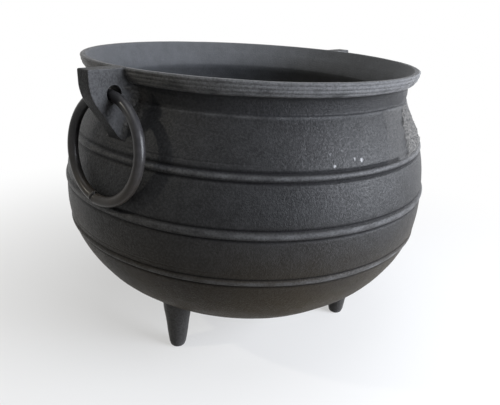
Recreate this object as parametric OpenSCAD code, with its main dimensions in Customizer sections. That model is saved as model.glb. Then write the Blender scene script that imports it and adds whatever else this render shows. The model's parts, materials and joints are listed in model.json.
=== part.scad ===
// Three-legged cast iron pot with a flared rim, banded belly, two ears and two loose ring handles.
// Frame: floor at z = 0, pot axis on Z, the ears on the X axis. All sizes in millimetres.

/* [Bowl] */
// Outer diameter of the rim
rim_d = 460; // [430:1:490]
// Height of the rim above the floor
pot_h = 407; // [390:1:430]
// Largest outer diameter of the belly
belly_d = 518; // [500:1:550]
// Height of the belly's widest level above the floor
belly_z = 228; // [215:1:240]
// Height of the bowl's underside above the floor
under_z = 47; // [35:1:60]
// Thickness of the cast wall
wall = 7; // [5:0.5:9]
// Squareness of the belly below its widest level, 2 being a plain ellipse
belly_square = 2.15; // [2:0.05:2.4]

/* [Rim and neck] */
// Outer diameter of the neck at its narrowest level
neck_d = 427; // [410:1:440]
// Depth of the narrowest level below the rim
neck_drop = 38; // [32:1:46]
// Width of the small ledge where the belly starts below the neck
ledge = 2; // [1:0.5:4]
// Depth of the ridged lip below the rim
lip_h = 17.5; // [14:0.5:22]
// How far the lip stands out from the neck at its lower edge
lip_foot = 5.5; // [3:0.5:8]
// Width of the flat land on top of the rim
rim_land = 8; // [6:0.5:10]
// Number of fine ridges round the lip
lip_ridges = 4; // [2:1:6]
// Height of each fine ridge
ridge_h = 0.9; // [0.5:0.1:1.5]

/* [Raised bands] */
// Depth of the first band's middle below the rim
band_1_drop = 94; // [86:1:104]
// Depth of the second band's middle below the rim
band_2_drop = 156; // [150:1:164]
// Depth of the third band's middle below the rim
band_3_drop = 214.5; // [206:0.5:224]
// Width of a band
band_w = 10; // [8:0.5:12]
// How far a band stands out of the belly
band_proud = 2; // [1:0.25:3]

/* [Ears] */
// Reach of an ear beyond the rim's edge
ear_reach = 43.5; // [38:0.5:50]
// Thickness of an ear
ear_t = 20.5; // [16:0.5:26]
// Straight part of the ear's outer end below its flat top
ear_end = 12; // [6:1:16]
// Radius of the bend from the ear's upright end into its slanting underside
ear_bend = 45; // [30:1:60]
// Depth of the ear's lower tip below the rim
ear_tip_drop = 79; // [72:1:84]
// Diameter of the hole through an ear
hole_d = 18.5; // [17:0.5:22]
// Distance of the hole's middle beyond the rim's edge
hole_out = 13.5; // [12:0.5:18]
// Depth of the hole's middle below the rim
hole_drop = 26.5; // [23:0.5:32]

/* [Ring handles] */
// Outer diameter of a ring
ring_d = 130; // [115:1:140]
// Diameter of the bar that a ring is bent from
bar_d = 12; // [9:0.5:13]

/* [Legs] */
// Distance of the left foot's middle from the pot's axis
foot_left_out = 150; // [140:1:175]
// Distance of the front foot's middle from the pot's axis
foot_front_out = 166; // [140:1:175]
// Distance of the back foot's middle from the pot's axis
foot_back_out = 158; // [140:1:175]
// Turn of the legs from the ears' line
leg_turn = 2.5; // [0:0.5:30]
// Diameter of a leg where it meets the bowl
leg_top_d = 42; // [34:1:50]
// Diameter of a leg at its foot
leg_foot_d = 23; // [18:1:30]
// Rounding of the foot's edge
foot_round = 5; // [2:0.5:7]

/* [Fit] */
// Running gap between a ring and the casting
gap = 0.3; // [0.2:0.05:0.5]

/* [Hidden] */

iron = [0.20, 0.20, 0.21];
iron_worn = [0.26, 0.26, 0.27];
bar_steel = [0.33, 0.33, 0.35];

rim_r = rim_d / 2;
belly_r = belly_d / 2;
neck_r = neck_d / 2;
shoulder_z = pot_h - neck_drop;
low_h = belly_z - under_z;
rim_inner_r = rim_r - rim_land;
neck_inner_r = neck_r - wall;
belly_steps = 26;
cove_steps = 6;
ridge_steps = 6;
flare_steps = 6;
band_steps = 8;
bend_steps = 8;
bands = [pot_h - band_1_drop, pot_h - band_2_drop, pot_h - band_3_drop];

// Half height of the ellipse that runs from the widest level to radius r at height z
function dome_h(widest, r, z) = (z - belly_z) / sqrt(1 - pow(r / widest, 2));
dome_out = dome_h(belly_r, neck_r + ledge, shoulder_z);
dome_in = dome_h(belly_r - wall, neck_inner_r, shoulder_z);

// Radius of a belly curve at height z: an ellipse above the widest level, a squarer one below
function curve_r(z, widest, up, down) = z >= belly_z
    ? widest * sqrt(max(0, 1 - pow((z - belly_z) / up, 2)))
    : widest * pow(max(0, 1 - pow((belly_z - z) / down, belly_square)), 1 / belly_square);

// A band's outline is half a cosine wave over its width
function band_bump(z) = max([for (b = bands) abs(z - b) < band_w / 2
    ? band_proud * sqrt(cos(180 * (z - b) / band_w)) : 0]);
function outer_r(z) = curve_r(z, belly_r, dome_out, low_h) + band_bump(z);
function inner_r(z) = curve_r(z, belly_r - wall, dome_in, low_h - wall);

// Heights of the outline: even steps of angle along the curve, with finer steps across each band
function clear_of_bands(z) = min([for (b = bands) abs(z - b)]) > band_w / 2 + 1;
function lower_zs(down) = [for (i = [0 : belly_steps]) belly_z - down * pow(cos(90 * i / belly_steps), 0.8)];
function upper_zs() = [for (i = [1 : belly_steps / 2]) belly_z + (shoulder_z - belly_z) * i * 2 / belly_steps];
function band_zs(b) = [for (i = [0 : band_steps]) b - band_w / 2 + band_w * i / band_steps];
function span(from, to) =
    [for (z = concat(lower_zs(low_h), upper_zs())) if (z > from && z < to && clear_of_bands(z)) z];

belly_zs = concat(
    [under_z], span(under_z, bands[2]), band_zs(bands[2]),
    span(bands[2], bands[1]), band_zs(bands[1]),
    span(bands[1], bands[0]), band_zs(bands[0]),
    span(bands[0], shoulder_z), [shoulder_z]);

// The cove sweeps out from the neck to the lip's lower edge
cove = [for (i = [0 : cove_steps]) let (s = i / cove_steps)
    [neck_r + lip_foot * (1 - sqrt(1 - s * s)), shoulder_z + ledge / 2 + (neck_drop - ledge / 2 - lip_h) * s]];

// The lip's face swells out to the rim's full radius, with fine ridges on it
lip_n = lip_ridges * ridge_steps;
lip_span = rim_r - ridge_h - neck_r - lip_foot;
lip = [for (i = [0 : lip_n]) let (s = i / lip_n)
    [neck_r + lip_foot + lip_span * sqrt(1 - pow(1 - s, 2)) + ridge_h * abs(sin(180 * s * lip_ridges)),
     pot_h - lip_h * (1 - s)]];

// Inside, a cone runs from the land down to one wall behind the lip's foot, then a curve in to the neck
lip_inner_r = neck_inner_r + lip_foot;
flare = concat([[rim_inner_r, pot_h]], [for (i = [0 : flare_steps]) let (s = i / flare_steps)
    [lip_inner_r + (neck_inner_r - lip_inner_r) * sin(90 * s), pot_h - lip_h - (neck_drop - lip_h) * s]]);

outer_line = concat([for (z = belly_zs) [outer_r(z), z]], cove, lip);
inner_line = concat(
    flare,
    [for (i = [belly_steps / 2 - 1 : -1 : 1]) let (z = upper_zs()[i - 1]) [inner_r(z), z]],
    [for (i = [belly_steps : -1 : 0]) let (z = lower_zs(low_h - wall)[i]) [inner_r(z), z]]);

// Height of the bowl's underside at radius r
function under_at(r) = belly_z - low_h * pow(1 - pow(r / belly_r, belly_square), 1 / belly_square);

// The ears stand out from the rim, or from the lip's foot where that is the wider
top_r = max(rim_r, neck_r + lip_foot);
ear_r = top_r + ear_reach;
ear_tip_z = pot_h - ear_tip_drop;
ear_tip_r = outer_r(ear_tip_z) - 1;
ear_bend_z = pot_h - ear_end;
// Slant of the underside from upright, on the line from the tip that just touches the bend
ear_run = [ear_tip_r - ear_r + ear_bend, ear_bend_z - ear_tip_z];
ear_slant = asin(ear_bend / norm(ear_run)) - atan2(ear_run[0], ear_run[1]);
hole_r = top_r + hole_out;
hole_z = pot_h - hole_drop;

ring_r = (ring_d - bar_d) / 2;
ring_inner_r = ring_r - bar_d / 2;
// The bent bar drops a little towards the ends of the hole that it hangs in
bore_sag = ring_inner_r - sqrt(pow(ring_inner_r, 2) - pow(ear_t / 2, 2));
ring_hang = hole_d / 2 - bar_d / 2 - gap - bore_sag;
ring_reach = ring_hang + 2 * ring_r;
function ring_low(a) = [hole_r + ring_reach * sin(a), hole_z - ring_reach * cos(a)];
function ring_clear(a) = let (p = ring_low(a)) p[0] < outer_r(p[1]) ? -1
    : min([for (i = [-12 : 12]) let (z = p[1] + bar_d * i / 10) norm([outer_r(z), z] - p)]) - bar_d / 2;
// The ring hangs plumb or, where the belly is in its way, leans on it
function lean_from(a) = ring_clear(a) >= gap ? a : lean_from(a + 0.02);
ring_lean = lean_from(0);

module revolved(points) {
    rotate_extrude($fn = 180) polygon(points);
}

// The bowl filled solid, which the ears and legs are cut to
module bowl_core() {
    revolved(concat([[0, under_z]], [for (p = outer_line) if (p[0] > 0) p], [[0, pot_h]]));
}

module bowl() {
    color(iron) revolved(concat(outer_line, inner_line));
}

// Side view of an ear: flat top, upright end, a bend, then a straight slant in to the belly
module ear_side() {
    bend = [for (i = [0 : bend_steps]) let (a = ear_slant * i / bend_steps)
        [ear_r - ear_bend * (1 - cos(a)), ear_bend_z - ear_bend * sin(a)]];
    root_r = neck_r - wall;
    polygon(concat([[root_r, pot_h], [ear_r, pot_h]], bend, [[ear_tip_r, ear_tip_z], [root_r, ear_tip_z]]));
}

module ear(turn) {
    color(iron_worn) rotate([0, 0, turn]) difference() {
        rotate([90, 0, 0]) translate([0, 0, -ear_t / 2]) linear_extrude(ear_t) ear_side();
        translate([hole_r, 0, hole_z]) rotate([90, 0, 0]) cylinder(d = hole_d, h = ear_t + 2, center = true, $fn = 64);
        bowl_core();
    }
}

// A taper that is as wide as leg_top_d where its middle line meets the bowl
module leg(turn, out) {
    foot_r = leg_foot_d / 2;
    flat_r = foot_r - foot_round;
    leg_slope = (leg_top_d / 2 - foot_r) / under_at(out);
    leg_blank_z = under_at(out + 0.7 * leg_top_d) + 2;
    edge = [for (a = [0 : 15 : 90]) [flat_r + foot_round * sin(a), foot_round * (1 - cos(a))]];
    color(iron) rotate([0, 0, turn]) difference() {
        translate([out, 0, 0]) rotate_extrude($fn = 96) polygon(concat(
            [[0, 0]], edge,
            [[foot_r + leg_slope * leg_blank_z, leg_blank_z], [0, leg_blank_z]]));
        rotate([0, 0, -turn]) bowl_core();
    }
}

module ring(turn) {
    color(bar_steel) rotate([0, 0, turn]) translate([hole_r, 0, hole_z]) rotate([0, -ring_lean, 0])
        translate([0, 0, -ring_hang - ring_r]) rotate([0, 90, 0])
            rotate_extrude($fn = 128) translate([ring_r, 0]) circle(d = bar_d, $fn = 48);
}

module ear_left() ear(180);
module ear_right() ear(0);
module leg_left() leg(180 + leg_turn, foot_left_out);
module leg_front() leg(300 + leg_turn, foot_front_out);
module leg_back() leg(60 + leg_turn, foot_back_out);
module ring_left() ring(180);
module ring_right() ring(0);

bowl();
ear_left();
ear_right();
leg_left();
leg_front();
leg_back();
ring_left();
ring_right();
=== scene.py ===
"""Looks of a three-legged cast iron pot with a banded belly, two ears and two loose ring handles.

All lengths are in metres, in the frame's own axes: the pot's axis is Z, the feet stand on z = 0 and the
ears lie on the X axis. Angles round the pot are measured from +X.
"""

import json
import math

import bpy
import numpy as np
from mathutils import Matrix, Vector


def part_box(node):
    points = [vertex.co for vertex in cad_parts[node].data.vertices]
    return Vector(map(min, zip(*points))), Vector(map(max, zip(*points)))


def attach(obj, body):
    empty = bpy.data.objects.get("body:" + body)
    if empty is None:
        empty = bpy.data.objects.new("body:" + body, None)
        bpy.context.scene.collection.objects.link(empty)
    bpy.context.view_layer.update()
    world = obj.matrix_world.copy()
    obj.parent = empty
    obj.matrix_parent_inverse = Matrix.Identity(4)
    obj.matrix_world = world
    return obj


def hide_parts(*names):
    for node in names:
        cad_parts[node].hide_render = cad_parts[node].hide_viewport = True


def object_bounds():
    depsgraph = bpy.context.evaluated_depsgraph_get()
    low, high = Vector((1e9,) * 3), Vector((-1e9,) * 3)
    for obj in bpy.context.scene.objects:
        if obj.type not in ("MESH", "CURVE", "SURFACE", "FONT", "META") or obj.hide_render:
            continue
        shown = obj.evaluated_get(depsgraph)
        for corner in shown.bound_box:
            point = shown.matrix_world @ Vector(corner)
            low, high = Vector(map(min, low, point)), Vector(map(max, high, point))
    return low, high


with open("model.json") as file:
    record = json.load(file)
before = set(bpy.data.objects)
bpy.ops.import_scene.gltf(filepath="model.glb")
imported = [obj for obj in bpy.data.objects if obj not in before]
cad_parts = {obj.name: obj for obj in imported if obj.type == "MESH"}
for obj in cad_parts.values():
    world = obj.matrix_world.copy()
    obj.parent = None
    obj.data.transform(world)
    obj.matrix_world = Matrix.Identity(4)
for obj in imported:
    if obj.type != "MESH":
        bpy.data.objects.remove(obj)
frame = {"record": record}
cad_low, cad_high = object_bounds()


# Bowl
# One thin pour of grey iron: a flared rim with fine ridges, a short neck and a round belly with three bands.
# It was cast in sand, so its skin is grainy, and it carries the broken gate of the pour under the neck.
RIM_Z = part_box("bowl")[1].z
UNDER_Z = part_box("bowl")[0].z
RIM_R = 0.230
RIM_LAND = 0.008
RIM_EDGE = 0.0014
LIP_H = 0.0175
LIP_FOOT = 0.0055
LIP_RIDGES = 4
RIDGE_H = 0.0009
NECK_R = 0.2135
NECK_DROP = 0.038
LEDGE = 0.002
WALL = 0.007
BELLY_R = 0.259
BELLY_Z = 0.228
BELLY_SQUARE = 2.15
# The three bands from the top down
BAND_DROPS = np.array([0.0960, 0.1564, 0.2155])
BEAD_W = np.array([0.0072, 0.0088, 0.0070])
BEAD_H = np.array([0.0019, 0.0019, 0.0016])
GROOVE_D = np.array([0.0016, 0.0013, 0.0008])
GROOVE_OUT = np.array([0.0050, 0.0060, 0.0049])
GROOVE_W = np.array([0.0018, 0.0016, 0.0015])
FAINT_UP = 0.0125
FAINT_D = 0.0004
FAINT_TURN = math.radians(-172)
GATE_TURN = math.radians(-78)
GATE_TOP = 0.366
GATE_BASE = 0.3135
GATE_W = 0.099
GATE_CORNER = 0.008
GATE_H = 0.0012
PAD_W = 0.202
PAD_H = 0.0003
FADE_W = 0.146
MARK_TURN = math.radians(-94.3)
MARK_Z = 0.340
MARK_HALF = 0.0115
FILL_TURN = math.radians(-70)
FILL_REACH = math.radians(24)
FILL_H = 0.0045
SEAM_H = 0.0004
SEAM_W = 0.0011

SHOULDER_Z = RIM_Z - NECK_DROP
LOWER_H = BELLY_Z - UNDER_Z
DOME_OUT = (SHOULDER_Z - BELLY_Z) / math.sqrt(1 - ((NECK_R + LEDGE) / BELLY_R) ** 2)
DOME_IN = (SHOULDER_Z - BELLY_Z) / math.sqrt(1 - ((NECK_R - WALL) / (BELLY_R - WALL)) ** 2)
BANDS = RIM_Z - BAND_DROPS


def uneven(points, wavelength, seed):
    """Smooth unevenness about 0 with a spread of 1: the sum of 24 waves sin(k.p + a), |k| near 2 pi / wavelength."""
    draw = np.random.default_rng(seed)
    k = draw.normal(size=(24, 3))
    k *= draw.uniform(0.6, 1.4, (24, 1)) * math.tau / wavelength / np.linalg.norm(k, axis=1, keepdims=True)
    return np.sin(points @ k.T + draw.uniform(0, math.tau, 24)).sum(-1) / math.sqrt(12)


def smooth(x):
    """0 below 0, 1 above 1, and 3 x^2 - 2 x^3 between them."""
    x = np.clip(x, 0, 1)
    return x * x * (3 - 2 * x)


def quarter(centre, radius, start, end, steps=5):
    """Points of an arc in the (r, z) plane: centre + radius (cos a, sin a), a from start to end in degrees."""
    a = np.radians(np.linspace(start, end, steps))
    return np.column_stack([centre[0] + radius * np.cos(a), centre[1] + radius * np.sin(a)])


def belly_radius(z, widest, up, down):
    """Radius of the belly at height z, h above its widest level: widest * sqrt(1 - (h / up)^2) over that level,
    and widest * (1 - (-h / down)^p)^(1 / p) under it, with p = BELLY_SQUARE."""
    h = z - BELLY_Z
    over = widest * np.sqrt(np.clip(1 - (h / up) ** 2, 0, 1))
    under = widest * np.clip(1 - np.clip(-h / down, 0, 1) ** BELLY_SQUARE, 0, 1) ** (1 / BELLY_SQUARE)
    return np.where(h > 0, over, under)


def belly_heights(up, down, steps):
    """Heights from the bottom pole to the shoulder, closer together where the belly's outline turns in."""
    a = np.radians(np.linspace(1.6, 90, steps))
    low = BELLY_Z - down * np.cos(a) ** (2 / BELLY_SQUARE)
    high = BELLY_Z + up * np.sin(np.linspace(0, math.asin((SHOULDER_Z - BELLY_Z) / up), steps // 2)[1:])
    return np.concatenate([low, high])


def outside_line():
    """Outer outline of the bowl from the bottom to the top of the rim, as (r, z), without the bands."""
    coarse = belly_heights(DOME_OUT, LOWER_H, 50)
    coarse = coarse[np.abs(coarse[:, None] - BANDS).min(1) > 0.0095]
    fine = (BANDS[:, None] + np.linspace(-0.009, 0.009, 25)).ravel()
    faint = (BANDS[[0, 2], None] + FAINT_UP + np.linspace(-0.002, 0.002, 7)).ravel()
    shoulder = SHOULDER_Z - np.array([0.0065, 0.0048, 0.0034, 0.0022, 0.0012])
    pour = np.arange(BANDS[0] + 0.011, GATE_TOP, 0.0014)
    z = np.unique(np.concatenate([coarse, fine, faint, shoulder, pour]))
    z = z[np.concatenate([[True], np.diff(z) > 0.0002])]
    belly = np.column_stack([belly_radius(z, BELLY_R, DOME_OUT, LOWER_H), z])
    belly = belly[:-1]
    ledge = quarter((NECK_R + LEDGE - 0.0009, SHOULDER_Z - 0.0002), 0.0009, 0, 90, 4)
    s = np.linspace(0, 1, 9)[:-1]
    cove = np.column_stack([NECK_R + LIP_FOOT * (1 - np.sqrt(1 - s * s)),
                            SHOULDER_Z + LEDGE / 2 + (NECK_DROP - LEDGE / 2 - LIP_H) * s])
    s = np.linspace(0, 1 - RIM_EDGE / LIP_H, 10 * LIP_RIDGES)
    swell = RIM_R - RIDGE_H - NECK_R - LIP_FOOT
    ridges = RIDGE_H * np.abs(np.sin(math.pi * s * LIP_RIDGES)) ** 0.8
    lip = np.column_stack([NECK_R + LIP_FOOT + swell * np.sqrt(1 - (1 - s) ** 2) + ridges, RIM_Z - LIP_H * (1 - s)])
    edge = quarter((RIM_R - RIDGE_H - RIM_EDGE, RIM_Z - RIM_EDGE), RIM_EDGE, 20, 90)
    return np.concatenate([belly, ledge, cove, lip, edge])


def inside_line():
    """Inner outline from the rim's land down the flare and the neck to the middle of the floor, as (r, z)."""
    land_r = RIM_R - RIM_LAND
    edge = quarter((land_r + 0.002, RIM_Z - 0.002), 0.002, 90, 150)
    lip_r = NECK_R - WALL + LIP_FOOT
    top = edge[-1]
    s = np.linspace(0, 1, 8)[1:]
    cone = np.column_stack([top[0] + (lip_r - top[0]) * s, top[1] + (RIM_Z - LIP_H - top[1]) * s])
    s = np.linspace(0, 1, 10)[1:]
    throat = np.column_stack([lip_r - LIP_FOOT * np.sin(s * math.pi / 2), RIM_Z - LIP_H - (NECK_DROP - LIP_H) * s])
    z = belly_heights(DOME_IN, LOWER_H - WALL, 34)[-2::-1]
    hollow = np.column_stack([belly_radius(z, BELLY_R - WALL, DOME_IN, LOWER_H - WALL), z])
    return np.concatenate([edge, cone, throat, hollow])


def band_relief(x):
    """Height at distance x from each band's middle: a bead h cos(pi x / w)^0.6 with a soft groove at each side."""
    bead = BEAD_H * np.clip(np.cos(math.pi * np.clip(x / BEAD_W, -0.5, 0.5)), 0, 1) ** 0.6
    return bead - GROOVE_D * np.exp(-(((np.abs(x) - GROOVE_OUT) / GROOVE_W) ** 2))


def columns():
    """Angles round the pot: every 1.5 degrees, and finer across the gate and the mould seam opposite."""
    even = np.arange(-180, 180, 1.5)
    even = even[(np.abs(even + 78) > 23) & (np.abs(even - 90) > 2.5)]
    fine = np.concatenate([np.arange(-100.5, -55.5, 0.45), np.arange(87.75, 92.5, 0.4)])
    return np.radians(np.sort(np.concatenate([even, fine])))


def gate(turn, z, place):
    """Height of the broken gate, its roughness and the fading of the first band's groove near it.

    The gate is an arch on a flat foot: its half width is w / 2 sqrt(1 - 0.9 s^2) at share s of its height, with
    rounded lower corners. It stands out most low down, and a crumbled lip runs round it. Beside it lies a plain
    low pad with a small square mark on it."""
    across = np.abs(turn - GATE_TURN) * BELLY_R
    rise = np.clip((z - GATE_BASE) / (GATE_TOP - GATE_BASE), 0, 1)
    rag = 0.0013 * uneven(place, 0.013, 21)
    side = GATE_W / 2 * np.sqrt(1 - 0.9 * rise ** 2) - across + rag
    foot = z - GATE_BASE + 0.6 * rag
    corner = np.hypot(np.clip(GATE_CORNER - side, 0, None), np.clip(GATE_CORNER - foot, 0, None))
    depth = GATE_CORNER - corner
    lump = smooth(depth / 0.004)
    crumbs = np.clip(0.0003 * uneven(place, 0.0055, 22) + 0.0005 * uneven(place, 0.014, 23), -0.0010, 0.0012)
    lip = 0.0008 * np.exp(-(((depth - 0.0045) / 0.0022) ** 2))
    stand = lump * (GATE_H * (1 - 0.6 * rise) + crumbs + lip)
    pad = PAD_H * smooth((PAD_W / 2 - 0.018 * rise - across + 0.3 * rag) / 0.003) * smooth((z - BANDS[0]) / 0.004)
    mark = np.maximum(np.abs(turn - MARK_TURN) * BELLY_R, np.abs(z - MARK_Z)) - MARK_HALF
    fade = smooth((FADE_W / 2 - across) / 0.004)
    rough = np.maximum(lump, 0.12 * pad / PAD_H)
    pad = pad + 0.0003 * np.exp(-((mark / 0.0012) ** 2))
    return pad + stand, rough, fade


def neck_fill(turn, z):
    """How far the neck is filled out beside the gate: f at its fullest, fading over its height and to both sides."""
    round_it = smooth((FILL_REACH - np.abs(turn - FILL_TURN)) / (0.7 * FILL_REACH))
    return FILL_H * round_it * np.exp(-(((z - 0.376) / 0.012) ** 2)) * smooth((RIM_Z - LIP_H - z) / 0.004)


def skin(name, grid, rows_closed=False, **marks):
    """Mesh over a grid of points (rows, columns, 3) that is closed along each row.

    A cell is the quad between rows i and i + 1 and columns j and j + 1. Where the rows don't close into a ring,
    the first and last row are each capped by a fan to their mean point. Faces that come out inside out, which
    the sum of p0 . (p1 x p2) shows, are turned round. Each of marks is stored as a number at every point.
    """
    rows, cols = grid.shape[:2]
    index = np.arange(rows * cols).reshape(rows, cols)
    if rows_closed:
        index = np.vstack([index, index[:1]])
    near = np.roll(index, -1, axis=1)
    quads = np.stack([index[:-1], near[:-1], near[1:], index[1:]], -1).reshape(-1, 4)
    points = grid.reshape(-1, 3)
    fans = np.empty((0, 3), int)
    if not rows_closed:
        first = np.stack([near[0], index[0], np.full(cols, rows * cols)], -1)
        last = np.stack([index[-1], near[-1], np.full(cols, rows * cols + 1)], -1)
        points = np.vstack([points, grid[0].mean(0), grid[-1].mean(0)])
        fans = np.vstack([first, last])
    p = points[quads]
    volume = (p[:, 0] * np.cross(p[:, 1], p[:, 2])).sum() + (p[:, 0] * np.cross(p[:, 2], p[:, 3])).sum()
    if volume < 0:
        quads, fans = quads[:, ::-1], fans[:, ::-1]
    mesh = bpy.data.meshes.new(name)
    mesh.from_pydata(points.tolist(), [], quads.tolist() + fans.tolist())
    mesh.shade_smooth()
    for mark, value in marks.items():
        value = np.broadcast_to(value, (rows, cols))
        full = np.append(value.ravel(), [value[0].mean(), value[-1].mean()])[:len(points)].astype(np.float32)
        mesh.attributes.new(mark, "FLOAT", "POINT").data.foreach_set("value", full)
    piece = bpy.data.objects.new(name, mesh)
    bpy.context.scene.collection.objects.link(piece)
    return piece


def bowl_skin():
    """The outline turned round Z, moved along its own normal by bands, gate, seams and the sand's unevenness.

    Nothing stands further out than the widest band of the frame's own bowl."""
    outer, inner = outside_line(), inside_line()
    line = np.concatenate([outer, inner])
    run = np.gradient(line, axis=0)
    run /= np.linalg.norm(run, axis=1, keepdims=True)
    r, z = line[:, :1], line[:, 1:]
    turn = columns()[None, :]
    out = np.arange(len(line))[:, None] < len(outer)
    belly = out & (z < SHOULDER_Z - 0.0005)
    place = np.stack([r * np.cos(turn), r * np.sin(turn), z + 0 * turn], -1)

    off = z[..., None] - BANDS - 0.0004 * np.stack([uneven(place[0] * 20, 2.2, 11 + i) for i in range(3)], -1)
    cut = 0.4 + 0.6 * smooth(0.5 + 0.6 * np.cos(turn + math.radians(95)))
    relief = band_relief(off)
    bead = np.clip(relief / BEAD_H, 0, 1).sum(-1)
    groove = np.clip(-relief / GROOVE_D, 0, 1).sum(-1) * cut
    relief = np.where(relief < 0, relief * cut[..., None], relief).sum(-1)

    faint = np.exp(-(((z[..., None] - BANDS[[0, 2]] - FAINT_UP) / 0.0008) ** 2)).sum(-1)
    faint = faint * smooth((np.cos(turn - FAINT_TURN) - 0.72) / 0.2)
    pour, rough, fade = gate(turn, z, place)
    filled = fade * (z > BANDS[0])
    relief = relief * (1 - filled) + np.maximum(relief, 0) * filled
    relief = relief + pour * (z > BANDS[0]) - FAINT_D * faint

    seam = sum(np.exp(-(((turn - a) * BELLY_R / SEAM_W) ** 2)) for a in (math.pi / 2, -math.pi / 2))
    wave = np.clip(0.00022 * uneven(place, 0.11, 31) + 0.00006 * uneven(place, 0.03, 32), -0.0004, 0.0004)
    lift = wave + np.where(belly, relief + SEAM_H * seam * (1 - fade), 0)
    off_ear = np.abs(np.sin(turn)) * r - 0.010
    near_ear = smooth((0.022 - off_ear) / 0.008) * smooth((RIM_Z - LIP_H - 0.001 - z) / 0.004)
    near_ear = near_ear * smooth((z - 0.338) / 0.012) * out
    lift = lift + near_ear * (0.0011 + np.clip(0.0004 * uneven(place, 0.016, 33), -0.0008, 0.0008))
    lift = np.where(np.abs(z - RIM_Z) < 0.0005, np.minimum(lift, 0), lift)
    move_r, move_z = run[:, 1:] * lift, -run[:, :1] * lift
    move_r = move_r + np.where(out & (z < RIM_Z - LIP_H), neck_fill(turn, z), 0)
    widest = cad_high.y - 0.0001
    far = np.minimum(r + move_r, widest)
    high = np.minimum(z + move_z, RIM_Z - 0.0001)
    grid = np.stack([far * np.cos(turn), far * np.sin(turn), high], -1)

    height = (z - RIM_Z + LIP_H) / LIP_H
    lip = out & (height > 0)
    crest = np.where(lip, np.abs(np.sin(math.pi * LIP_RIDGES * np.clip(height, 0, 1))) ** 3, 0)
    ledge = np.exp(-(((z - SHOULDER_Z + 0.0008) / 0.0014) ** 2)) * out
    rim_edge = np.exp(-(((z - RIM_Z) / 0.0012) ** 2))
    neck = out & ~belly & ~lip & (z < RIM_Z - LIP_H + 0.001)
    # Paler iron: real wear on bead crests, lip ridges, ledge and rim edge, with a painted highlight there, and lip
    # and neck painted paler as painted light
    worn = np.where(belly, bead ** 2, 0) * 0.6 + 1.1 * lip + 0.2 * crest + 0.5 * ledge + 0.8 * rim_edge
    worn = np.clip(worn * (0.85 + 0.2 * uneven(place, 0.02, 41)), 0, 1) + 0.12 * neck
    # Painted shade in the grooves beside the beads, and the belly painted darker towards the bottom, where shade
    # falls
    deep = np.where(belly, groove * (1 - filled) + 0.5 * smooth((0.13 - z) / 0.06), 0)
    # Painted shade on the neck under the overhanging lip, left out beside the ears
    cove = np.where(neck, 0.5 * (1 - near_ear), 0)
    # Grainy places at the gate and beside each ear; their pale points are partly painted glints
    grainy = np.where(belly, rough, 0) + near_ear
    return skin("bowl_casting", grid, worn=worn, deep=np.clip(deep + cove, 0, 1), grainy=grainy, inside=1.0 * ~out)


class Weave:
    """Short ways to add and join the nodes of one material."""

    def __init__(self, name):
        self.material = bpy.data.materials.new(name)
        self.material.use_nodes = True
        self.tree = self.material.node_tree
        self.shader = self.tree.nodes["Principled BSDF"]
        self.place = self.add("ShaderNodeTexCoord").outputs["Object"]

    def add(self, kind, **settings):
        node = self.tree.nodes.new(kind)
        for key, value in settings.items():
            setattr(node, key, value)
        return node

    def join(self, value, socket):
        if isinstance(value, bpy.types.NodeSocket):
            self.tree.links.new(value, socket)
        else:
            socket.default_value = value

    def noise(self, size, detail=3.0, rough=0.55, stretch=None):
        """Noise from 0 to 1 whose features are about size across."""
        node = self.add("ShaderNodeTexNoise")
        place = self.place
        if stretch:
            mapping = self.add("ShaderNodeMapping")
            mapping.inputs["Scale"].default_value = stretch
            self.join(place, mapping.inputs["Vector"])
            place = mapping.outputs["Vector"]
        self.join(place, node.inputs["Vector"])
        node.inputs["Scale"].default_value = 1 / size
        node.inputs["Detail"].default_value = detail
        node.inputs["Roughness"].default_value = rough
        return node.outputs["Fac"]

    def level(self, value, low, high, to_low=0.0, to_high=1.0):
        """value carried from low..high to to_low..to_high, held at its ends."""
        node = self.add("ShaderNodeMapRange", interpolation_type="SMOOTHSTEP")
        for socket, number in zip(node.inputs[:5], (value, low, high, to_low, to_high)):
            self.join(number, socket)
        return node.outputs["Result"]

    def math(self, operation, a, b):
        node = self.add("ShaderNodeMath", operation=operation)
        self.join(a, node.inputs[0])
        self.join(b, node.inputs[1])
        return node.outputs["Value"]

    def mix(self, share, a, b):
        """Colour a where share is 0 and colour b where it is 1."""
        node = self.add("ShaderNodeMix", data_type="RGBA")
        self.join(share, node.inputs["Factor"])
        self.join(a, node.inputs[6])
        self.join(b, node.inputs[7])
        return node.outputs[2]

    def mark(self, name):
        return self.add("ShaderNodeAttribute", attribute_name=name).outputs["Fac"]

    def bump(self, height, distance, strength, under=None):
        node = self.add("ShaderNodeBump")
        self.join(height, node.inputs["Height"])
        node.inputs["Distance"].default_value = distance
        node.inputs["Strength"].default_value = strength
        if under:
            self.join(under, node.inputs["Normal"])
        return node.outputs["Normal"]


IRON_DARK = (0.012, 0.0122, 0.013, 1)
IRON_PALE = (0.022, 0.0225, 0.024, 1)
IRON_BROWN = (0.029, 0.0215, 0.0115, 1)
# Wear, with painted highlights and painted light
IRON_WEAR_AND_LIGHT = (0.116, 0.117, 0.121, 1)
# The inside: bare iron, also painted light and a painted reflection of the sky
IRON_INSIDE_BARE_AND_LIT = (0.080, 0.083, 0.089, 1)
# Broken iron, also painted glints
IRON_BROKEN_AND_GLINT = (0.108, 0.104, 0.098, 1)
# The dark of painted shade
SHADE_DARK = (0.009, 0.009, 0.010, 1)
FLECK = (0.32, 0.32, 0.33, 1)
# Lime flecks on the belly: turn in degrees, height, size and how white
FLECKS = [(-118.7, 0.3217, 0.0017, 0.7), (-109.9, 0.3248, 0.0018, 0.85), (-112.3, 0.3268, 0.0012, 0.55),
          (-116.0, 0.3363, 0.0011, 0.15), (-119.8, 0.3335, 0.0014, 0.15)]


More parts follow.
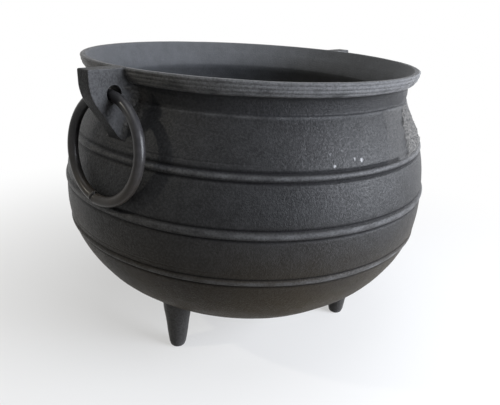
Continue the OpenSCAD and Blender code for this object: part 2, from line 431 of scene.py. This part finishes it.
def cast_iron(name, gloss_level, brown_share=1.0, flecks=()):
    """Sand-cast iron, oiled black outside: sand grain and mottling in colour, gloss and bump, and browner low down
    by the given share. The inside is bare and paler, its blue-grey partly painted light and painted sky reflection,
    and a broken or rough place is grainy with pale points, partly painted glints. The wear mark paints real wear
    and also painted highlights and painted light, and the shade mark paints painted shade, dark and dull."""
    w = Weave(name)
    grain = w.noise(0.0013, 3, 0.65)
    sand = w.noise(0.0026, 3, 0.6)
    mottle = w.noise(0.019, 5, 0.6)
    blotch = w.noise(0.11, 4, 0.55)
    colour = w.mix(w.level(mottle, 0.25, 0.75, 0.1, 0.8), IRON_DARK, IRON_PALE)
    colour = w.mix(w.level(sand, 0.5, 0.7, 0, 0.6), colour, IRON_PALE)
    split = w.add("ShaderNodeSeparateXYZ")
    w.join(w.place, split.inputs[0])
    low = w.level(split.outputs["Z"], 0.28, 0.10)
    brown = w.math("MULTIPLY", w.level(blotch, 0.25, 0.65, 0.5 * brown_share, brown_share), low)
    colour = w.mix(brown, colour, IRON_BROWN)
    inside = w.mark("inside")
    # The inside's paler blue-grey: bare iron, and also painted light and a painted reflection of the sky
    colour = w.mix(w.math("MULTIPLY", inside, w.level(mottle, 0.25, 0.75, 0.75, 1.0)), colour, IRON_INSIDE_BARE_AND_LIT)
    # Paler where the iron is rubbed, and there also a painted highlight and painted light
    colour = w.mix(w.math("MULTIPLY", w.mark("worn"), w.level(sand, 0.3, 0.6, 0.5, 0.9)), colour, IRON_WEAR_AND_LIGHT)
    # Painted shade in grooves, on the neck under the lip and in the ear's bore
    colour = w.mix(w.math("MULTIPLY", w.mark("deep"), 0.7), colour, SHADE_DARK)
    grainy = w.mark("grainy")
    # Pale points on grainy places: broken iron, and partly painted glints of sand grains
    points = w.level(w.noise(0.0036, 4, 0.7), 0.38, 0.68, 0.2, 1.0)
    colour = w.mix(w.math("MULTIPLY", grainy, points), colour, IRON_BROKEN_AND_GLINT)
    ragged = w.math("MULTIPLY", w.level(grain, 0.3, 0.7, -1, 1), 0.0012)
    for turn, height, size, white in flecks:
        r = float(belly_radius(np.array(height), BELLY_R, DOME_OUT, LOWER_H))
        a = math.radians(turn)
        gap = w.add("ShaderNodeVectorMath", operation="DISTANCE")
        w.join(w.place, gap.inputs[0])
        gap.inputs[1].default_value = (r * math.cos(a), r * math.sin(a), height)
        near = w.math("ADD", gap.outputs["Value"], ragged)
        colour = w.mix(w.level(near, size * 1.2, size * 0.6, 0, white), colour, FLECK)
    w.join(colour, w.shader.inputs["Base Color"])
    gloss = w.math("ADD", w.level(grain, 0.3, 0.7, 0.33, 0.47), w.level(mottle, 0.3, 0.7, 0.0, 0.07))
    gloss = w.math("ADD", gloss, w.math("MULTIPLY", inside, 0.12))
    w.join(w.math("SUBTRACT", gloss, w.math("MULTIPLY", w.mark("worn"), 0.08)), w.shader.inputs["Roughness"])
    dull = w.math("SUBTRACT", 1.0, w.math("MULTIPLY", w.mark("deep"), 0.8))
    dull = w.math("MULTIPLY", dull, w.math("SUBTRACT", 1.0, w.math("MULTIPLY", w.mark("worn"), 0.8)))
    dull = w.math("MULTIPLY", dull, w.math("SUBTRACT", 1.0, w.math("MULTIPLY", low, 0.75)))
    dull = w.math("MULTIPLY", dull, w.level(sand, 0.35, 0.65, 0.65, 1.35))
    w.join(w.math("MULTIPLY", dull, gloss_level), w.shader.inputs["Specular IOR Level"])
    normal = w.bump(mottle, 0.0012, 0.25)
    normal = w.bump(sand, 0.0009, 0.55, normal)
    normal = w.bump(grain, 0.0005, 0.60, normal)
    coarse = w.math("MULTIPLY", points, grainy)
    w.join(w.bump(coarse, 0.0016, 0.7, normal), w.shader.inputs["Normal"])
    return w.material


bowl_iron = cast_iron("bowl_iron", 0.12, flecks=FLECKS)
bowl = bowl_skin()
bowl.data.materials.append(bowl_iron)
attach(bowl, "pot")
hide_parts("bowl")


# Ears
# Two lugs cast in one with the bowl, flush with the rim, each with a cored hole for its ring.
# Their faces are drawn slightly smoother by the pattern, and they run into the rim and belly in a soft fillet.
EAR_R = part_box("ear_right")[1].x
EAR_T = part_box("ear_right")[1].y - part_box("ear_right")[0].y
EAR_TIP_Z = 0.328
EAR_END = 0.012
EAR_BEND = 0.045
EAR_CORNER = 0.0016
EAR_EDGE = 0.0013
EAR_FILLET = 0.007
NECK_FILLET = 0.011
LIP_FILLET = 0.002
EAR_ROOT = 0.0035
HOLE_R = 0.2435
HOLE_Z = 0.3805
HOLE_D = 0.0185
HOLE_MOUTH = 0.0012

outline = outside_line()


def wall_radius(z):
    """Outer radius of the bowl at height z, read along its outline."""
    return np.interp(z, outline[:, 1], outline[:, 0])


def wall_gap(r, z):
    """Distance from a point outside the bowl's wall to its outline, and 0 within it."""
    near = np.full(r.shape, np.inf)
    part = outline[outline[:, 1] > EAR_TIP_Z - 0.03]
    for a, b in zip(part[:-1], part[1:]):
        step = b - a
        share = np.clip(((r - a[0]) * step[0] + (z - a[1]) * step[1]) / (step @ step + 1e-12), 0, 1)
        near = np.minimum(near, np.hypot(r - a[0] - share * step[0], z - a[1] - share * step[1]))
    return np.where(r < wall_radius(z), 0, near)


def ear_outline(count):
    """Side view of an ear as count even steps: flat top, small corner, upright end, a bend, a straight slant
    that just touches the bend and runs in to the belly, and back up inside the bowl's wall."""
    top = RIM_Z - 0.00005
    end_r = EAR_R - 0.00005
    tip = np.array([wall_radius(EAR_TIP_Z) - 0.001, EAR_TIP_Z])
    bend_z = RIM_Z - EAR_END
    run = np.array([tip[0] - end_r + EAR_BEND, bend_z - tip[1]])
    slant = math.degrees(math.asin(EAR_BEND / math.hypot(*run)) - math.atan2(*run))
    z = np.linspace(EAR_TIP_Z, top, 40)
    root = np.column_stack([wall_radius(z) - EAR_ROOT, z])
    path = np.concatenate([
        root,
        quarter((end_r - EAR_CORNER, top - EAR_CORNER), EAR_CORNER, 90, 0, 7),
        quarter((end_r - EAR_BEND, bend_z), EAR_BEND, 0, -slant, 20),
        [tip], root[:1]])
    length = np.concatenate([[0], np.cumsum(np.linalg.norm(np.diff(path, axis=0), axis=1))])
    steps = np.linspace(0, length[-1], count, endpoint=False)
    return np.column_stack([np.interp(steps, length, path[:, i]) for i in (0, 1)])


def ear_skin(name, turn):
    """Loops round the ear's section, carried round its outline: out of the hole, over one side face,
    round the outer edge and back over the other face. The half thickness grows by f - sqrt(f^2 - (f - d)^2)
    at distance d from the bowl, which is the fillet f."""
    edge = ear_outline(260)
    hole = np.array([HOLE_R, HOLE_Z])
    away = edge - hole
    reach = np.linalg.norm(away, axis=1, keepdims=True)
    along = away / reach
    arc = np.linspace(0, math.pi / 2, 5)
    face = (1 - np.cos(np.linspace(0, math.pi, 34)[1:-1])) / 2
    start, full = HOLE_D / 2, reach - HOLE_D / 2
    s_mouth = start + HOLE_MOUTH * (1 - np.cos(arc))[None, :] + 0 * reach
    s_face = start + HOLE_MOUTH + (full - HOLE_MOUTH - EAR_EDGE) * face[None, :]
    s_edge = start + full - EAR_EDGE * (1 - np.sin(arc))[None, :]
    half = np.concatenate([s_mouth, s_face, s_edge], 1)
    drop = np.concatenate([HOLE_MOUTH * (1 - np.sin(arc)), 0 * face, EAR_EDGE * (1 - np.cos(arc))])
    r = hole[0] + along[:, :1] * half
    z = hole[1] + along[:, 1:] * half
    under_lip = RIM_Z - LIP_H - z
    fillet = EAR_FILLET + (NECK_FILLET - EAR_FILLET) * smooth((z - SHOULDER_Z + 0.012) / 0.012)
    fillet = fillet + (LIP_FILLET - fillet) * smooth((0.004 - under_lip) / 0.006)
    gap = np.clip(fillet - wall_gap(r, z), 0, fillet)
    thick = EAR_T / 2 + fillet - np.sqrt(fillet ** 2 - gap ** 2) - drop
    place = np.stack([r, thick, z], -1)
    waver = np.clip(0.00020 * uneven(place, 0.05, 51) + 0.00008 * uneven(place, 0.014, 52), -0.0004, 0.0004)
    inner = (half - start) > HOLE_MOUTH
    blend = smooth(1.6 * gap / fillet) * smooth((z - EAR_TIP_Z) / 0.02) * smooth(under_lip / 0.005)
    crumbs = blend * np.clip(0.0005 * uneven(place, 0.005, 53), -0.0007, 0.0009)
    thick = thick - 0.0004 * inner + np.where(inner, waver + crumbs, 0)
    wall = np.linspace(1, -1, 7)[1:-1]
    near = np.stack([r, thick, z], -1)
    far = near[:, ::-1] * [1, -1, 1]
    rim = near[:, -1:] * np.stack([1 + 0 * wall, wall, 1 + 0 * wall], -1)
    bore = near[:, :1] * np.stack([1 + 0 * wall, -wall, 1 + 0 * wall], -1)
    grid = np.concatenate([near, rim, far, bore], 1)
    # Paler round the hole's mouth, over the faces and along the edge: real wear, with painted light on the faces and
    # a painted highlight on the edges
    rub_and_light = np.concatenate([0.3 + 0.4 * np.sin(arc), 0.33 + 0 * face, 0.33 * np.cos(arc) + 0.4 * np.sin(2 * arc)])
    near_wall = smooth(2 * gap / EAR_FILLET)
    rub_and_light = rub_and_light * (1 - 0.5 * near_wall)
    plain = 0 * wall[None, :] + 0 * reach
    marks = np.concatenate([rub_and_light, plain, rub_and_light[:, ::-1], plain], 1)
    # Painted shade inside the bore of the hole
    shade = np.concatenate([0 * rub_and_light, plain, 0 * rub_and_light, 0.7 + plain], 1)
    # Grainy fillet where the ear meets the bowl; its pale points are partly painted glints
    grainy = 0.8 * np.concatenate([blend, plain, blend[:, ::-1], plain], 1)
    cos, sin = math.cos(turn), math.sin(turn)
    x, y = grid[..., 0] * cos - grid[..., 1] * sin, grid[..., 0] * sin + grid[..., 1] * cos
    grid = np.stack([x, y, grid[..., 2]], -1)
    return skin(name, grid, rows_closed=True, worn=np.clip(marks, 0, 1), deep=shade, grainy=grainy)


ear_iron = cast_iron("ear_iron", 0.07)
for side, turn in (("left", math.pi), ("right", 0.0)):
    ear = ear_skin(f"ear_{side}_casting", turn)
    ear.data.materials.append(ear_iron)
    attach(ear, "pot")
    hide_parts(f"ear_{side}")


# Legs
# Three tapered feet cast in one with the bowl, with a rounded end where the iron filled the bottom of the mould.
FOOT_D = 0.023
LEG_TOP_D = 0.042
FOOT_ROUND = 0.005
LEG_SINK = 0.003
LEG_FILLET = 0.0035


def under_height(r):
    """Height of the belly's underside at radius r."""
    return BELLY_Z - LOWER_H * (1 - (r / BELLY_R) ** BELLY_SQUARE) ** (1 / BELLY_SQUARE)


def leg_skin(name, x, y):
    """A taper round the foot's axis: r = foot + slope z + f exp(-(top - z) / f), cut to follow the belly."""
    turn = np.linspace(0, math.tau, 72, endpoint=False)[None, :]
    join = under_height(math.hypot(x, y))
    slope = (LEG_TOP_D - FOOT_D) / 2 / join
    top = join + 0 * turn
    for _ in range(4):
        r = FOOT_D / 2 + slope * top + LEG_FILLET
        top = under_height(np.hypot(x + r * np.cos(turn), y + r * np.sin(turn))) + LEG_SINK
    a = np.radians(np.linspace(8, 90, 8))
    foot_r = FOOT_D / 2 - FOOT_ROUND * (1 - np.sin(a))
    foot_z = FOOT_ROUND * (1 - np.cos(a))
    s = np.linspace(0, 1, 34)[1:, None]
    z = FOOT_ROUND + (top - FOOT_ROUND) * s
    r = FOOT_D / 2 + slope * z + LEG_FILLET * np.exp(-(top - LEG_SINK - z) / LEG_FILLET).clip(0, 1.4)
    r = np.vstack([foot_r[:, None] + 0 * turn, r])
    z = np.vstack([foot_z[:, None] + 0 * turn, z])
    place = np.stack([x + r * np.cos(turn), y + r * np.sin(turn), z], -1)
    r = r * (1 + np.clip(0.008 * uneven(place, 0.03, 61) + 0.004 * uneven(place, 0.01, 62), -0.02, 0.02)) - 0.0002
    worn = 0.2 + 0.6 * np.exp(-z / 0.004)
    return skin(name, np.stack([x + r * np.cos(turn), y + r * np.sin(turn), z], -1), worn=worn, deep=0 * z)


leg_iron = cast_iron("leg_iron", 0.5, brown_share=0.3)
for mount in frame["record"]["mounts"]:
    if not mount["name"].startswith("foot_"):
        continue
    place = mount["name"][len("foot_"):]
    leg = leg_skin(f"leg_{place}_casting", mount["pos_m"][0], mount["pos_m"][1])
    leg.data.materials.append(leg_iron)
    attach(leg, "pot")
    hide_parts(f"leg_{place}")


# Ring handles
# Round steel bar bent into a ring through the ear and butt-welded, so each shows a seam with one end proud.
# They hang loose and lean on the belly.
BAR_D = 0.0124
RING_R = 0.059
SEAM_AT = math.radians(170)
SEAM_GAP = 0.0011
SEAM_DEPTH = 0.0015
SEAM_STEP = 0.0011
SEAM_FADE = 0.012
STEEL_DARK = (0.017, 0.0167, 0.018, 1)
STEEL_PALE = (0.026, 0.0255, 0.027, 1)
STEEL_BROWN = (0.028, 0.022, 0.016, 1)


def ring_skin(name, node, side):
    """A bar of radius b carried round a circle: c + (R + b cos t) (e1 sin a + e2 cos a) + b sin t n, with a from
    the ear's hole. At the seam b shrinks by a narrow bell curve, and past it the bar's line steps out and fades."""
    low, high = (np.array(v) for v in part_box(node))
    centre = (low + high) / 2
    up = np.array([side * HOLE_R, 0, HOLE_Z]) - centre
    up /= np.linalg.norm(up)
    across = np.array([0, 1.0, 0])
    normal = np.cross(across, up)
    even = np.linspace(0, math.tau, 220, endpoint=False)
    a = np.unique(np.concatenate([even, SEAM_AT + np.linspace(-0.08, 0.08, 41)]))[:, None]
    t = np.linspace(0, math.tau, 36, endpoint=False)[None, :]
    past = (a - SEAM_AT) * RING_R
    bar = BAR_D / 2 - 0.0001 - SEAM_DEPTH * np.exp(-((past / SEAM_GAP) ** 2))
    swell = 0.00045 * np.exp(-(((np.abs(past) - 0.0022) / 0.0012) ** 2)) * (1 + np.cos(t + 2.4)) / 2
    step = SEAM_STEP * np.exp(-np.clip(past, 0, None) / SEAM_FADE) * smooth((past + SEAM_GAP) / (2 * SEAM_GAP))
    place = np.stack([a + 0 * t, np.cos(t) + 0 * a, np.sin(t) + 0 * a], -1)
    bar = bar + swell - 0.00008 * (1 + uneven(place, 1.1, 71).clip(-1, 1.5))
    spoke = across * np.sin(a)[..., None] + up * np.cos(a)[..., None]
    grid = centre + spoke * (RING_R + step + bar * np.cos(t))[..., None] + normal * (bar * np.sin(t))[..., None]
    # Painted shade in the gap of the seam
    deep = np.exp(-((past / SEAM_GAP) ** 2)) + 0 * t
    top_rub = np.exp(-((np.minimum(a, math.tau - a) / 0.16) ** 2)) * np.clip(np.cos(t), 0, 1)
    worn = np.clip(0.5 * np.exp(-(((np.abs(past) - 0.002) / 0.001) ** 2)) + 0.6 * top_rub, 0, 1)
    return skin(name, grid, rows_closed=True, worn=worn, deep=deep)


def ring_steel():
    """Black bar steel: smoother than the casting, with a mill skin and pits, browner low down,
    and painted shade in the seam's gap.
    """
    w = Weave("ring_steel")
    skin_noise = w.noise(0.006, 5, 0.6)
    pits = w.noise(0.0014, 2, 0.5)
    blotch = w.noise(0.03, 3, 0.5)
    colour = w.mix(w.level(skin_noise, 0.3, 0.7), STEEL_DARK, STEEL_PALE)
    split = w.add("ShaderNodeSeparateXYZ")
    w.join(w.place, split.inputs[0])
    low = w.level(split.outputs["Z"], 0.34, 0.26)
    colour = w.mix(w.math("MULTIPLY", low, w.level(blotch, 0.3, 0.7, 0.4, 0.9)), colour, STEEL_BROWN)
    colour = w.mix(w.math("MULTIPLY", w.mark("worn"), 0.5), colour, IRON_WEAR_AND_LIGHT)
    # Painted shade in the seam's gap
    colour = w.mix(w.math("MULTIPLY", w.mark("deep"), 0.8), colour, SHADE_DARK)
    w.join(colour, w.shader.inputs["Base Color"])
    w.join(w.level(skin_noise, 0.3, 0.7, 0.28, 0.33), w.shader.inputs["Roughness"])
    w.shader.inputs["Specular IOR Level"].default_value = 0.16
    normal = w.bump(skin_noise, 0.0002, 0.12)
    w.join(w.bump(pits, 0.0002, 0.25, normal), w.shader.inputs["Normal"])
    return w.material


bar_steel = ring_steel()
for side, sign in (("left", -1), ("right", 1)):
    ring = ring_skin(f"ring_{side}_bar", f"ring_{side}", sign)
    ring.data.materials.append(bar_steel)
    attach(ring, f"ring_{side}")
    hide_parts(f"ring_{side}")


# Floor
# A wide pale floor that runs out into white and keeps the pot's soft shadow.
FLOOR_R = 40.0
FLOOR_PALE = (0.33, 0.31, 0.275, 1)
FLOOR_SEEN = (0.60, 0.60, 0.60, 1)
FLOOR_GLOW = 0.5


def seen_directly(w):
    """1 for rays from the camera and for those that a gloss or a glass sends on, else 0."""
    path = w.add("ShaderNodeLightPath")
    gloss = w.math("MAXIMUM", path.outputs["Is Glossy Ray"], path.outputs["Is Transmission Ray"])
    return w.math("MAXIMUM", path.outputs["Is Camera Ray"], gloss)


def pale_floor():
    w = Weave("floor_pale")
    w.tree.nodes.remove(w.shader)
    matt = w.add("ShaderNodeBsdfDiffuse")
    seen = seen_directly(w)
    w.join(w.mix(seen, FLOOR_PALE, FLOOR_SEEN), matt.inputs["Color"])
    glow = w.add("ShaderNodeEmission")
    gap = w.add("ShaderNodeVectorMath", operation="LENGTH")
    w.join(w.place, gap.inputs[0])
    share = w.level(gap.outputs["Value"], 0.25, 0.90, FLOOR_GLOW, 1.0)
    mixed = w.add("ShaderNodeMixShader")
    w.join(w.math("MULTIPLY", share, seen), mixed.inputs[0])
    w.join(matt.outputs[0], mixed.inputs[1])
    w.join(glow.outputs[0], mixed.inputs[2])
    w.join(mixed.outputs[0], w.tree.nodes["Material Output"].inputs["Surface"])
    return w.material


bpy.ops.mesh.primitive_circle_add(vertices=96, radius=FLOOR_R, fill_type="NGON")
floor = bpy.context.object
floor.name = "floor"
floor.data.materials.append(pale_floor())


# Light
# A soft window to the camera's right, an open door further round behind it, and a soft ceiling. A small warm
# lamp high on the left throws the ring's shadow on the belly.
CAMERA_TURN = math.radians(-141.93)


def lamp(name, turn, distance, height, aim_z, width, tall, watts, colour):
    """A rectangular soft lamp: turn is its direction from the pot, in degrees to the right of the camera."""
    light = bpy.data.lights.new(name, "AREA")
    light.shape = "RECTANGLE"
    light.size = width
    light.size_y = tall
    light.energy = watts
    light.color = colour
    a = CAMERA_TURN + math.radians(turn)
    body = bpy.data.objects.new(name, light)
    body.location = (distance * math.cos(a), distance * math.sin(a), height)
    body.rotation_euler = (body.location - Vector((0, 0, aim_z))).to_track_quat("Z", "Y").to_euler()
    bpy.context.scene.collection.objects.link(body)
    return body


lamp("window", 67, 1.6, 0.62, 0.25, 0.9, 1.1, 76, (0.88, 0.92, 1.0))
lamp("door", 112, 2.0, 0.75, 0.25, 2.4, 1.2, 15.5, (0.93, 0.95, 1.0))
lamp("ceiling", 20, 0.4, 2.0, 0.3, 1.2, 1.2, 15, (0.96, 0.98, 1.0))
lamp("left_spot", -68, 1.5, 1.20, 0.28, 0.06, 0.06, 8, (1.0, 0.95, 0.82))

world = bpy.data.worlds.new("studio")
bpy.context.scene.world = world
world.use_nodes = True
WORLD_FILL = (0.11, 0.11, 0.108, 1)
sky = world.node_tree
path = sky.nodes.new("ShaderNodeLightPath")
either = sky.nodes.new("ShaderNodeMath")
either.operation = "MAXIMUM"
shown = sky.nodes.new("ShaderNodeMath")
shown.operation = "MAXIMUM"
blend = sky.nodes.new("ShaderNodeMix")
blend.data_type = "RGBA"
sky.links.new(path.outputs["Is Glossy Ray"], either.inputs[0])
sky.links.new(path.outputs["Is Transmission Ray"], either.inputs[1])
sky.links.new(path.outputs["Is Camera Ray"], shown.inputs[0])
sky.links.new(either.outputs[0], shown.inputs[1])
sky.links.new(shown.outputs[0], blend.inputs["Factor"])
blend.inputs[6].default_value = WORLD_FILL
blend.inputs[7].default_value = (1, 1, 1, 1)
sky.links.new(blend.outputs[2], sky.nodes["Background"].inputs["Color"])


# Camera
# A phone held close above the pot, a little off its axis and tilted.
CAMERA_OUT = 0.7130
CAMERA_Z = 0.4779
CAMERA_HEADING = math.radians(37.26)
CAMERA_DOWN = math.radians(22.438)
CAMERA_ROLL = math.radians(3.346)

camera_data = bpy.data.cameras.new("camera")
camera_data.sensor_width = 36.0
camera_data.lens = 34.90
camera_data.clip_start = 0.01
camera = bpy.data.objects.new("camera", camera_data)
camera.location = (CAMERA_OUT * math.cos(CAMERA_TURN), CAMERA_OUT * math.sin(CAMERA_TURN), CAMERA_Z)
look = Vector((math.cos(CAMERA_HEADING) * math.cos(CAMERA_DOWN), math.sin(CAMERA_HEADING) * math.cos(CAMERA_DOWN),
               -math.sin(CAMERA_DOWN)))
level = look.to_track_quat("-Z", "Y").to_matrix()
camera.rotation_euler = (level @ Matrix.Rotation(CAMERA_ROLL, 3, "Z")).to_euler()
bpy.context.scene.collection.objects.link(camera)
bpy.context.scene.camera = camera
bpy.context.scene.view_settings.view_transform = "Standard"
